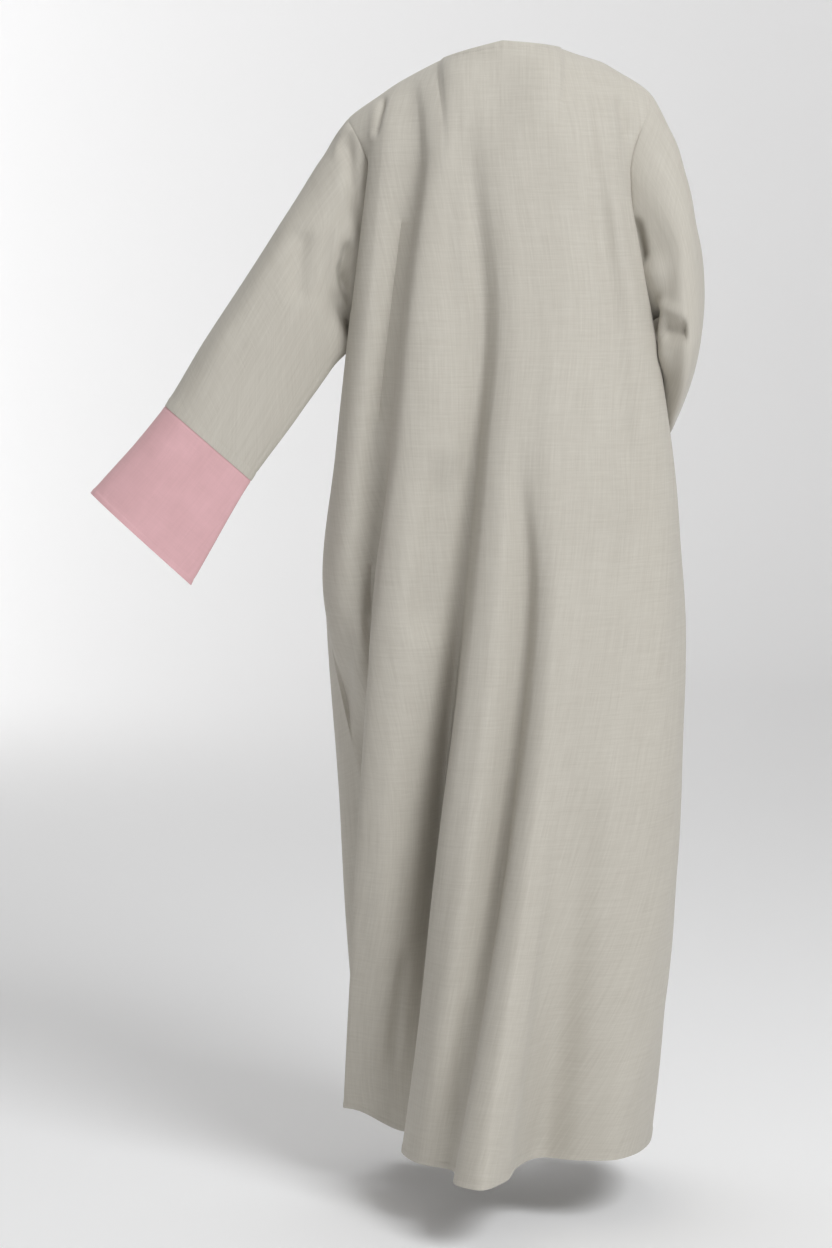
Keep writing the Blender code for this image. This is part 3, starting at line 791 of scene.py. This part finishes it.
@lru_cache(maxsize=2)
def garment(crease_strength):
    """Every piece of cloth, joined at its seams."""
    back = panel(BACK_LINES, "back", {0: "left", -1: "right"})
    across = back[0][:, 0]
    neck = NECK_HALF_WIDTH - SLACK
    grids = {
        "back": back,
        "front_left": panel(LEFT_FRONT_LINES, "front", {0: "left"}, across[across >= neck]),
        "front_right": panel(RIGHT_FRONT_LINES, "front", {0: "right"}, across[across <= -neck][::-1]),
    }
    for side, table, column in (("left", LEFT_SLEEVE, 0), ("right", RIGHT_SLEEVE, -1)):
        rings, seam_ring = sleeve_rings(table, armhole_loop(back, grids[f"front_{side}"], column))
        grids[f"sleeve_{side}"] = rings[: seam_ring + 1]
        grids[f"cuff_{side}"] = rings[seam_ring:]
    groups = seam_groups(grids)
    grids = {name: shifted(name, grid) for name, grid in grids.items()}
    for column in (0, -1):
        rounded(grids, grids["back"][0, column].copy())
    joined(grids, groups)
    middles = {"back": int(np.argmin(abs(across))), "front_left": -1, "front_right": -1}
    places, moved, relief = {}, {}, {}
    for name, grid in grids.items():
        level = 0 if is_tube(name) else len(shoulder_shares())
        places[name] = cloth_places(name, grid, middles.get(name, 0), level)
        normals = grid_normals(name, grid)
        outer, inner, pucker = edge_relief(name, grid, places[name])
        relief[name] = (outer, inner)
        clear = eased(seam_distance(name, grid) / UNEVEN_FROM_SEAM)
        across_cloth, down_cloth = np.moveaxis(places[name][:, : grid.shape[1]], -1, 0)
        uneven = waves(across_cloth, down_cloth, len(name), UNEVEN_LENGTHS)
        lift = UNEVEN_HEIGHT * crease_strength * uneven * clear + pucker
        moved[name] = creased(name, grid, normals, crease_strength) + normals * lift[..., None]
    joined(moved, groups)
    normals = {name: grid_normals(name, grid) for name, grid in moved.items()}
    joined(normals, groups)
    for given in normals.values():
        given /= np.linalg.norm(given, axis=2, keepdims=True)
    return {name: Cloth(name, moved[name], normals[name], *relief[name], places[name]) for name in grids}


def corner_places(cloth):
    """The cloth place of every corner of every quad."""
    left, right = cloth.places[:, :-1].copy(), cloth.places[:, 1:].copy()
    if is_tube(cloth.name):
        half = left.shape[1] // 2
        round_it = cloth.places[:, -1:, 0]
        left[:, half:, 0] -= round_it
        right[:, half:, 0] -= round_it
    corners = np.stack([left[:-1], left[1:], right[1:], right[:-1]], axis=2).reshape(-1, 4, 2)
    return corners[:, ::-1] if cloth.name in TURNED else corners


# The shell's edges stay crisp where its faces turn by more than this.
RIM_ANGLE = math.radians(60)


def cloth_mesh(cloth, thickness):
    """One piece of cloth as a closed thin shell round its middle surface."""
    rows, columns = cloth.grid.shape[:2]
    outer = (cloth.grid + cloth.normals * (thickness / 2 + cloth.outer)[..., None]).reshape(-1, 3)
    inner = (cloth.grid - cloth.normals * (thickness / 2 + cloth.inner)[..., None]).reshape(-1, 3)
    quads = cloth_faces(cloth.name, cloth.grid)
    count = rows * columns
    directed = {(a, b) for quad in quads.tolist() for a, b in zip(quad, quad[1:] + quad[:1])}
    rims = np.array(sorted((b, a, a + count, b + count) for a, b in directed if (b, a) not in directed))
    faces = np.concatenate([quads, quads[:, ::-1] + count, rims])
    mesh = bpy.data.meshes.new(f"{cloth.name}_cloth")
    mesh.from_pydata(np.concatenate([outer, inner]).tolist(), [], faces.tolist())
    corners = corner_places(cloth)
    flat = cloth.places[:, :columns].reshape(-1, 2)
    all_corners = np.concatenate([corners, corners[:, ::-1], flat[rims % count]]).reshape(-1, 2)
    place = mesh.attributes.new("cloth_place", "FLOAT_VECTOR", "CORNER")
    place.data.foreach_set("vector", np.column_stack([all_corners, np.zeros(len(all_corners))]).ravel())
    mesh.shade_smooth()
    mesh.set_sharp_from_angle(angle=RIM_ANGLE)
    return mesh


# The flat cut of every piece: its widest width and its length in metres, and its area in square metres.
Cut = namedtuple("Cut", "width length area")


def new_object(name, mesh, material):
    mesh.materials.append(material)
    piece = bpy.data.objects.new(name, mesh)
    bpy.context.scene.collection.objects.link(piece)
    return piece


def make_cloth(node, settings):
    """One dressed piece of cloth in place of its solid."""
    is_cuff = node.startswith("cuff")
    mesh = cloth_mesh(garment(settings.crease_strength)[node], settings.thickness)
    weave, colour = (CUFF_WEAVE, settings.cuff_colour) if is_cuff else (GREIGE_WEAVE, settings.main_colour)
    piece = new_object(f"{node}_cloth", mesh, woven_material(weave, tuple(colour), settings.contrast))
    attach(piece, "root")
    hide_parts(node)


def new_material(name):
    """A new material, its node tree and its shader."""
    material = bpy.data.materials.new(name)
    material.use_nodes = True
    return material, material.node_tree, material.node_tree.nodes["Principled BSDF"]


def set_inputs(node, values):
    for name, value in values.items():
        node.inputs[name].default_value = value


def stretched_noise(tree, place, name, per_metre, detail, seed):
    """Noise over the cloth, drawn out across or along the threads."""
    stretch = tree.nodes.new("ShaderNodeVectorMath")
    stretch.operation = "MULTIPLY"
    stretch.label = name
    stretch.inputs[1].default_value = (*per_metre, 1.0)
    noise = tree.nodes.new("ShaderNodeTexNoise")
    noise.noise_dimensions = "4D"
    noise.label = name
    set_inputs(noise, {"W": seed, "Scale": 1.0, "Detail": detail, "Roughness": 0.6})
    tree.links.new(place, stretch.inputs[0])
    tree.links.new(stretch.outputs[0], noise.inputs["Vector"])
    return noise.outputs["Fac"]


def weighted_sum(tree, parts, middle=0.5):
    """A value round the middle from (value, weight) parts that each lie round one half."""
    total = middle - sum(weight for _, weight in parts) / 2
    previous = None
    for value, weight in parts:
        step = tree.nodes.new("ShaderNodeMath")
        step.operation = "MULTIPLY_ADD"
        step.inputs[1].default_value = weight
        tree.links.new(value, step.inputs[0])
        if previous is None:
            step.inputs[2].default_value = total
        else:
            tree.links.new(previous, step.inputs[2])
        previous = step.outputs[0]
    return previous


def colour_ramp(tree, value, stops):
    """Colours along a value, as (place, colour) stops."""
    ramp = tree.nodes.new("ShaderNodeValToRGB")
    elements = ramp.color_ramp.elements
    while len(elements) < len(stops):
        elements.new(0.5)
    for element, (place, colour) in zip(elements, stops):
        element.position = place
        element.color = (*colour, 1.0)
    tree.links.new(value, ramp.inputs["Fac"])
    return ramp.outputs["Color"]


def shade_of(colour, factor, warmth=0.0):
    """A colour made lighter or darker, and warmer or cooler."""
    red, green, blue = colour
    return (red * factor * (1 + warmth), green * factor, blue * factor * (1 - warmth))


# Each row is one kind of thread: its unevenness per metre across and along the cloth, the noise's detail,
# and its share in the colour and in the relief.
Threads = namedtuple("Threads", "name per_metre detail tone relief")

THREADS = (
    Threads("warp threads", (620.0, 26.0), 3.0, 1.1, 0.5),
    Threads("weft threads", (30.0, 620.0), 3.0, 0.9, 0.5),
    Threads("long slubs", (260.0, 9.0), 2.0, 0.9, 0.35),
    Threads("cross slubs", (11.0, 300.0), 2.0, 0.7, 0.3),
)

# Each row is one cloth: its share of the slub contrast, how far its dye drifts, and the drift's unevenness
# per metre.
Weave = namedtuple("Weave", "name contrast drift patches seed")

GREIGE_WEAVE = Weave("greige woven cloth", 1.0, 0.25, (9.0, 4.0), 3.0)
CUFF_WEAVE = Weave("pink cuff cloth", 0.45, 0.55, (24.0, 24.0), 21.0)
DYE_DETAIL = 2.0
THREAD_RELIEF = 0.0004
THREAD_RELIEF_STRENGTH = 0.36
CLOTH_ROUGHNESS = (0.74, 0.92)


def woven_material(weave, colour, contrast):
    """Slubbed plain weave: uneven warp and weft threads of two tones, with fine relief and a soft sheen."""
    if weave.name in bpy.data.materials:
        return bpy.data.materials[weave.name]
    material, tree, shader = new_material(weave.name)
    attribute = tree.nodes.new("ShaderNodeAttribute")
    attribute.attribute_name = "cloth_place"
    place = attribute.outputs["Vector"]
    threads = [
        stretched_noise(tree, place, row.name, row.per_metre, row.detail, weave.seed + number)
        for number, row in enumerate(THREADS)
    ]
    patches = stretched_noise(
        tree, place, "dye drift", weave.patches, DYE_DETAIL, weave.seed + len(THREADS)
    )
    contrast *= weave.contrast
    parts = [(value, row.tone * contrast) for value, row in zip(threads, THREADS)]
    tone = weighted_sum(tree, [*parts, (patches, weave.drift)])
    stops = [(0.0, shade_of(colour, 0.80, 0.020)), (0.5, colour), (1.0, shade_of(colour, 1.20, -0.015))]
    tree.links.new(colour_ramp(tree, tone, stops), shader.inputs["Base Color"])
    relief = weighted_sum(tree, [(value, row.relief) for value, row in zip(threads, THREADS)])
    bump = tree.nodes.new("ShaderNodeBump")
    set_inputs(bump, {"Strength": THREAD_RELIEF_STRENGTH, "Distance": THREAD_RELIEF})
    tree.links.new(relief, bump.inputs["Height"])
    tree.links.new(bump.outputs["Normal"], shader.inputs["Normal"])
    spread = tree.nodes.new("ShaderNodeMapRange")
    set_inputs(spread, {"To Min": CLOTH_ROUGHNESS[0], "To Max": CLOTH_ROUGHNESS[1]})
    tree.links.new(relief, spread.inputs["Value"])
    tree.links.new(spread.outputs["Result"], shader.inputs["Roughness"])
    set_inputs(shader, {"Specular IOR Level": 0.25, "Sheen Weight": 0.12, "Sheen Roughness": 0.5})
    return material


THREAD_TWIST = (1800.0, 1800.0)
THREAD_DETAIL = 2.0
THREAD_SEED = 5.0


def thread_material(name, colour):
    """Fine twisted sewing thread."""
    if name in bpy.data.materials:
        return bpy.data.materials[name]
    material, tree, shader = new_material(name)
    place = tree.nodes.new("ShaderNodeTexCoord").outputs["Object"]
    twist = stretched_noise(tree, place, "twist", THREAD_TWIST, THREAD_DETAIL, THREAD_SEED)
    stops = [(0.3, shade_of(colour, 0.85)), (0.7, shade_of(colour, 1.12))]
    tree.links.new(colour_ramp(tree, twist, stops), shader.inputs["Base Color"])
    set_inputs(shader, {"Roughness": 0.6, "Sheen Weight": 0.1})
    return material


# The thread has six sides. A stitch is made of three rings: their widths, as shares of the thread's, and
# how far their middles stand off the cloth, as shares of half its width.
THREAD_SIDES = 6
STITCH_END = (0.45, -0.4)
STITCH_MIDDLE = (1.0, 0.5)
STITCH_CAPS = [(5, 4, 3, 2), (5, 2, 1, 0), (12, 13, 14, 15), (12, 15, 16, 17)]


def stitches(path, normals, settings):
    """Corner points and faces of a run of stitches that lie along a path on the cloth."""
    reach = np.append(0, np.cumsum(np.linalg.norm(np.diff(path, axis=0), axis=1)))
    pitch = settings.stitch_length + settings.stitch_gap
    starts = np.arange(0.5 * settings.stitch_gap, reach[-1] - settings.stitch_length, pitch)

    def at(distance, values):
        return np.stack([np.interp(distance, reach, values[:, axis]) for axis in range(3)], axis=-1)

    begin, end = at(starts, path), at(starts + settings.stitch_length, path)
    up = at(starts + settings.stitch_length / 2, normals)
    middle = at(starts + settings.stitch_length / 2, path)
    run = end - begin
    side = np.cross(run, up)
    side /= np.linalg.norm(side, axis=1, keepdims=True)
    half = settings.thread_width / 2
    rings = []
    for centre, (wide, high) in ((begin, STITCH_END), (middle, STITCH_MIDDLE), (end, STITCH_END)):
        lifted_centre = centre + up * half * high
        for angle in np.arange(THREAD_SIDES) * math.pi / (THREAD_SIDES / 2):
            rings.append(lifted_centre + half * wide * (side * math.cos(angle) + up * math.sin(angle)))
    points = np.stack(rings, axis=1)
    sides = grid_faces(3, THREAD_SIDES, True)[:, [0, 3, 2, 1]]
    quads = np.concatenate([sides, STITCH_CAPS])
    faces = quads[None] + (np.arange(len(points)) * len(rings))[:, None, None]
    return points.reshape(-1, 3), faces.reshape(-1, 4)


# The pieces that each group of stitching runs over.
STITCHED = {
    "hem": ("back", "front_left", "front_right"),
    "front_edge": ("front_left", "front_right"),
    "neckline": ("back", "front_left", "front_right"),
    "sleeve_end": ("sleeve_left", "sleeve_right"),
}


def stitch_lines(group, cloths, thickness):
    """The (points, normals) paths of one group of stitching."""
    hem = len(HEM_STEPS) - HEM_STEPS[::-1].index(HEM_STITCH) - 1
    sleeve_end = SLEEVE_END_STEPS.index(SLEEVE_STITCH)
    for name in STITCHED[group]:
        cloth = cloths[name]
        on_neck = np.flatnonzero(on_neckline(name, cloth.grid)[0])
        line = {
            "hem": (-1 - hem,),
            "front_edge": (slice(hem, -hem), -1 - hem),
            "neckline": (hem, on_neck if name == "back" else on_neck[:-hem]),
            "sleeve_end": (-1 - sleeve_end, [*on_neck, 0]),
        }[group]
        surface = cloth.grid + cloth.normals * (thickness / 2 + cloth.outer)[..., None]
        yield surface[line], cloth.normals[line]


def make_stitching(group, cloth_settings, settings):
    """One group of stitching as a single piece."""
    points, faces = [], []
    cloths = garment(cloth_settings.crease_strength)
    for path, normals in stitch_lines(group, cloths, cloth_settings.thickness):
        more_points, more_faces = stitches(path, normals, settings)
        faces.append(more_faces + sum(len(given) for given in points))
        points.append(more_points)
    mesh = bpy.data.meshes.new(f"{group}_stitching")
    mesh.from_pydata(np.concatenate(points).tolist(), [], np.concatenate(faces).tolist())
    mesh.shade_smooth()
    piece = new_object(f"{group}_stitching", mesh, thread_material("greige thread", tuple(settings.colour)))
    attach(piece, "root")


# The studio, in metres.
FLOOR_HEIGHT = -1.515
STAGE_RADIUS = 10.0
STAGE_BEND = 3.0
STAGE_WALL_TOP = 5.0
STAGE_TURNS = 96
STAGE_RINGS = 9
STAGE_BEND_RINGS = 25
STAGE_FIRST_RING = 0.5
PAPER_MOTTLING = 0.005

# Each row is one soft round light: where it stands, what it points at, its width and its colour.
Lamp = namedtuple("Lamp", "name place target size colour")

LAMPS = (
    Lamp("key", (-2.1, 3.5, 2.3), (0.0, 0.0, -0.5), 2.2, (0.97, 0.985, 1.0)),
    Lamp("wall", (5.0, -5.5, 0.3), (1.8, -10.0, -0.7), 2.0, (1.0, 1.0, 1.0)),
    Lamp("top", (0.6, -1.2, 3.4), (0.4, -1.0, -1.5), 2.6, (0.96, 0.98, 1.0)),
)
FILL_COLOUR = (1.0, 0.985, 0.96)

# The camera looks at the wearer's back from a little below the waist, tilted down.
CAMERA_PLACE = (0.11, 4.26, -0.414)
CAMERA_TILT = math.radians(4.5)
CAMERA_LENS = 94.18
CAMERA_SENSOR = 36.0
CAMERA_REACH = 60.0


def stage_mesh():
    """A round floor that bends up into a wall on every side."""
    bend = np.linspace(0, math.pi / 2, STAGE_BEND_RINGS)
    inner = STAGE_RADIUS - STAGE_BEND
    flat = np.linspace(STAGE_FIRST_RING, inner, STAGE_RINGS + 1)[:-1]
    radii = np.concatenate([flat, inner + STAGE_BEND * np.sin(bend), [STAGE_RADIUS]])
    heights = np.concatenate([0 * flat, STAGE_BEND * (1 - np.cos(bend)), [STAGE_WALL_TOP]]) + FLOOR_HEIGHT
    turns = np.arange(STAGE_TURNS) * 2 * math.pi / STAGE_TURNS
    grid = np.array(
        [[(r * math.cos(a), r * math.sin(a), h) for a in turns] for r, h in zip(radii, heights)]
    )
    faces = grid_faces(len(radii), len(turns), True).tolist()
    faces.append(list(range(len(turns))))
    mesh = bpy.data.meshes.new("studio_floor")
    mesh.from_pydata(grid.reshape(-1, 3).tolist(), [], faces)
    mesh.shade_smooth()
    return mesh


def stage_material(colour):
    """Matt pale paper with the faintest mottling."""
    material, tree, shader = new_material("studio paper")
    noise = tree.nodes.new("ShaderNodeTexNoise")
    noise.inputs["Scale"].default_value = 3.0
    stops = [(0.0, shade_of(colour, 1 - PAPER_MOTTLING)), (1.0, shade_of(colour, 1 + PAPER_MOTTLING))]
    tree.links.new(colour_ramp(tree, noise.outputs["Fac"], stops), shader.inputs["Base Color"])
    set_inputs(shader, {"Roughness": 0.95, "Specular IOR Level": 0.1})
    return material


def placed(name, data, place, look):
    """A light or camera in the scene, at a place and looking along a direction."""
    holder = bpy.data.objects.new(name, data)
    holder.location = place
    holder.rotation_mode = "QUATERNION"
    holder.rotation_quaternion = look.to_track_quat("-Z", "Y")
    bpy.context.scene.collection.objects.link(holder)
    return holder


def area_light(row, power):
    light = bpy.data.lights.new(row.name, "AREA")
    light.shape = "DISK"
    light.size = row.size
    light.energy = power
    light.color = row.colour
    placed(row.name, light, row.place, Vector(row.target) - Vector(row.place))


def make_camera():
    camera = bpy.data.cameras.new("camera")
    camera.lens = CAMERA_LENS
    camera.sensor_width = CAMERA_SENSOR
    camera.clip_end = CAMERA_REACH
    look = Vector((0.0, -math.cos(CAMERA_TILT), -math.sin(CAMERA_TILT)))
    bpy.context.scene.camera = placed("camera", camera, CAMERA_PLACE, look)


def make_world(strength, colour):
    world = bpy.data.worlds.new("studio light")
    world.use_nodes = True
    set_inputs(world.node_tree.nodes["Background"], {"Color": (*colour, 1.0), "Strength": strength})
    bpy.context.scene.world = world


class AbayaClothSettings(bpy.types.PropertyGroup):
    thickness: FloatProperty(
        name="Cloth thickness", description="Thickness of one layer of cloth",
        default=0.0009, min=0.0004, max=0.002, precision=4, unit="LENGTH",
    )
    crease_strength: FloatProperty(
        name="Crease strength", description="How deep the soft creases are, as a share of their own depth",
        default=1.0, min=0.0, max=1.5, subtype="FACTOR",
    )
    contrast: FloatProperty(
        name="Slub contrast", description="How far the threads' tones differ",
        default=0.55, min=0.0, max=1.0, subtype="FACTOR",
    )
    main_colour: FloatVectorProperty(
        name="Main colour", description="Middle tone of the greige cloth",
        default=(0.498, 0.470, 0.414), min=0.0, max=1.0, subtype="COLOR",
    )
    cuff_colour: FloatVectorProperty(
        name="Cuff colour", description="Middle tone of the pink cuffs",
        default=(0.66, 0.40, 0.42), min=0.0, max=1.0, subtype="COLOR",
    )


class AbayaStitchSettings(bpy.types.PropertyGroup):
    stitch_length: FloatProperty(
        name="Stitch length", description="Length of one stitch on the face of the cloth",
        default=0.0028, min=0.001, max=0.006, precision=4, unit="LENGTH",
    )
    stitch_gap: FloatProperty(
        name="Stitch gap", description="Gap between two stitches",
        default=0.0006, min=0.0002, max=0.003, precision=4, unit="LENGTH",
    )
    thread_width: FloatProperty(
        name="Thread width", description="Width of the sewing thread",
        default=0.0004, min=0.0002, max=0.001, precision=4, unit="LENGTH",
    )
    colour: FloatVectorProperty(
        name="Thread colour", description="Colour of the sewing thread",
        default=(0.46, 0.43, 0.38), min=0.0, max=1.0, subtype="COLOR",
    )


class AbayaStageSettings(bpy.types.PropertyGroup):
    paper_colour: FloatVectorProperty(
        name="Paper colour", description="Colour of the floor and the wall behind",
        default=(0.93, 0.93, 0.935), min=0.0, max=1.0, subtype="COLOR",
    )
    key_power: FloatProperty(
        name="Key light", description="Power of the large soft light beside the camera, in watts",
        default=166.0, min=0.0, max=2000.0,
    )
    wall_power: FloatProperty(
        name="Wall light", description="Power of the light on the wall behind, in watts",
        default=186.0, min=0.0, max=5000.0,
    )
    top_power: FloatProperty(
        name="Top light", description="Power of the soft light overhead, in watts",
        default=41.0, min=0.0, max=2000.0,
    )
    fill: FloatProperty(
        name="Fill light", description="Strength of the even light from above",
        default=0.37, min=0.0, max=5.0,
    )


class ABAYA_OT_body(bpy.types.Operator):
    """Makes the back and the two fronts"""

    bl_idname = "abaya.body"
    bl_label = "Back and fronts"

    def execute(self, context):
        for node in ("back", "front_left", "front_right"):
            make_cloth(node, context.scene.abaya_cloth)
        return {"FINISHED"}


class ABAYA_OT_sleeves(bpy.types.Operator):
    """Makes the two sleeves"""

    bl_idname = "abaya.sleeves"
    bl_label = "Sleeves"

    def execute(self, context):
        for node in ("sleeve_left", "sleeve_right"):
            make_cloth(node, context.scene.abaya_cloth)
        return {"FINISHED"}


class ABAYA_OT_cuffs(bpy.types.Operator):
    """Makes the two deep cuffs"""

    bl_idname = "abaya.cuffs"
    bl_label = "Cuffs"

    def execute(self, context):
        for node in ("cuff_left", "cuff_right"):
            make_cloth(node, context.scene.abaya_cloth)
        return {"FINISHED"}


class ABAYA_OT_stitching(bpy.types.Operator):
    """Makes the stitching of the hem, the front edges, the neckline and the sleeves' ends"""

    bl_idname = "abaya.stitching"
    bl_label = "Stitching"

    def execute(self, context):
        for group in STITCHED:
            make_stitching(group, context.scene.abaya_cloth, context.scene.abaya_stitch)
        return {"FINISHED"}


class ABAYA_OT_stage(bpy.types.Operator):
    """Makes the floor, the lights and the camera"""

    bl_idname = "abaya.stage"
    bl_label = "Stage"

    def execute(self, context):
        settings = context.scene.abaya_stage
        floor = new_object("studio_floor", stage_mesh(), stage_material(tuple(settings.paper_colour)))
        powers = (settings.key_power, settings.wall_power, settings.top_power)
        for row, power in zip(LAMPS, powers):
            area_light(row, power)
        make_world(settings.fill, FILL_COLOUR)
        context.scene.view_settings.view_transform = "Standard"
        make_camera()
        return {"FINISHED"}


class ABAYA_PT_panel(bpy.types.Panel):
    bl_label = "Abaya cloak"
    bl_idname = "ABAYA_PT_panel"
    bl_space_type = "VIEW_3D"
    bl_region_type = "UI"
    bl_category = "Abaya"

    def draw(self, context):
        for settings in (context.scene.abaya_cloth, context.scene.abaya_stitch, context.scene.abaya_stage):
            box = self.layout.box()
            for name in type(settings).__annotations__:
                box.prop(settings, name)
        for operator in OPERATORS:
            self.layout.operator(operator.bl_idname)


SETTINGS = {
    "abaya_cloth": AbayaClothSettings,
    "abaya_stitch": AbayaStitchSettings,
    "abaya_stage": AbayaStageSettings,
}
OPERATORS = (ABAYA_OT_stage, ABAYA_OT_body, ABAYA_OT_sleeves, ABAYA_OT_cuffs, ABAYA_OT_stitching)


def register():
    for kind in (*SETTINGS.values(), *OPERATORS, ABAYA_PT_panel):
        bpy.utils.register_class(kind)
    for name, kind in SETTINGS.items():
        setattr(bpy.types.Scene, name, PointerProperty(type=kind))


def unregister():
    for name in SETTINGS:
        delattr(bpy.types.Scene, name)
    for kind in (ABAYA_PT_panel, *OPERATORS[::-1], *list(SETTINGS.values())[::-1]):
        bpy.utils.unregister_class(kind)


def main():
    register()
    bpy.ops.abaya.stage()
    bpy.ops.abaya.body()
    bpy.ops.abaya.sleeves()
    bpy.ops.abaya.cuffs()
    bpy.ops.abaya.stitching()


if __name__ == "__main__":
    main()
